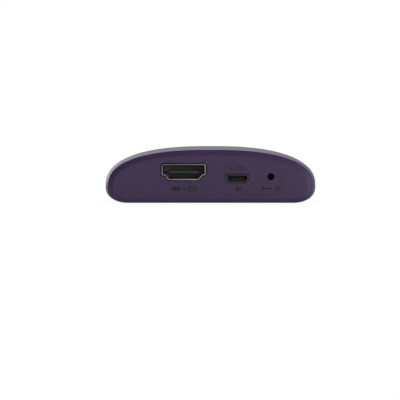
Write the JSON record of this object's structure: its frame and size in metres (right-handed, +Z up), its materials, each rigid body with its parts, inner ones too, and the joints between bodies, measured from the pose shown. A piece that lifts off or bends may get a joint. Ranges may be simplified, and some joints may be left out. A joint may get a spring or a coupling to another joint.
{
  "type": "streaming media player",
  "caption": "Small pebble-shaped streaming media player with a video port, a micro power port and a reset hole in its flat rear panel, and an infrared window in its nose.",
  "frame": {"origin": "middle of the footprint, on the surface that the feet stand on", "axes": "+X to the right when looking at the rear panel, +Y from the ports towards the infrared window in the nose, +Z up"},
  "size_m": [0.072, 0.036, 0.0189],
  "materials": {
    "top_cover": "satin deep purple moulded plastic",
    "bottom_cover": "satin deep purple moulded plastic",
    "rear_panel": "satin deep purple moulded plastic",
    "front_window": "smoked infrared-transparent plastic",
    "foot_rear_left": "matt dark grey",
    "foot_rear_right": "matt dark grey",
    "foot_front_left": "matt dark grey",
    "foot_front_right": "matt dark grey",
    "rating_label": "blank satin film",
    "circuit_board": "glass-fibre laminate with green solder mask",
    "board_screw_left": "zinc plated",
    "board_screw_right": "zinc plated",
    "video_port_shell": "nickel plated stamping",
    "video_port_insulator": "black moulded nylon",
    "power_port_shell": "nickel plated stamping",
    "power_port_insulator": "black moulded nylon",
    "reset_button": "black moulded nylon",
    "switch_plunger": "black moulded nylon",
    "switch_base": "black moulded nylon",
    "switch_frame": "tin plated stamping",
    "switch_dome": "spring steel",
    "infrared_receiver": "dark epoxy",
    "receiver_cage": "tin plated stamping",
    "status_light": "white package",
    "light_guide": "clear acrylic",
    "processor": "chip epoxy",
    "memory_chip": "chip epoxy",
    "flash_chip": "chip epoxy",
    "wireless_chip": "chip epoxy",
    "clock_crystal": "metal lid",
    "processor_shield": "tin plated stamping",
    "wireless_shield": "tin plated stamping",
    "thermal_pad": "grey thermal silicone",
    "heat_spreader": "satin",
    "antenna_left": "tin plated stamping",
    "antenna_right": "tin plated stamping",
    "power_inductor": "ferrite",
    "power_regulator": "chip epoxy",
    "bulk_capacitor": "aluminium can on a base"
  },
  "bodies": {
    "player": {"top_cover": "top_cover", "bottom_cover": "bottom_cover", "rear_panel": "rear_panel", "front_window": "front_window", "foot_rear_left": "foot_rear_left", "foot_rear_right": "foot_rear_right", "foot_front_left": "foot_front_left", "foot_front_right": "foot_front_right", "rating_label": "rating_label", "circuit_board": "circuit_board", "board_screw_left": "board_screw_left", "board_screw_right": "board_screw_right", "video_port_shell": "video_port_shell", "video_port_insulator": "video_port_insulator", "power_port_shell": "power_port_shell", "power_port_insulator": "power_port_insulator", "switch_base": "switch_base", "switch_frame": "switch_frame", "switch_dome": "switch_dome", "infrared_receiver": "infrared_receiver", "receiver_cage": "receiver_cage", "status_light": "status_light", "light_guide": "light_guide", "processor": "processor", "memory_chip": "memory_chip", "flash_chip": "flash_chip", "wireless_chip": "wireless_chip", "clock_crystal": "clock_crystal", "processor_shield": "processor_shield", "wireless_shield": "wireless_shield", "thermal_pad": "thermal_pad", "heat_spreader": "heat_spreader", "antenna_left": "antenna_left", "antenna_right": "antenna_right", "power_inductor": "power_inductor", "power_regulator": "power_regulator", "bulk_capacitor": "bulk_capacitor"},
    "reset": {"reset_button": "reset_button", "switch_plunger": "switch_plunger"}
  },
  "joints": [
    {"name": "reset_press", "type": "slide", "parent": "player", "child": "reset", "axis": [0, 1, 0], "range_m": [0, 0.0003], "deforming": ["switch_dome"]}
  ]
}
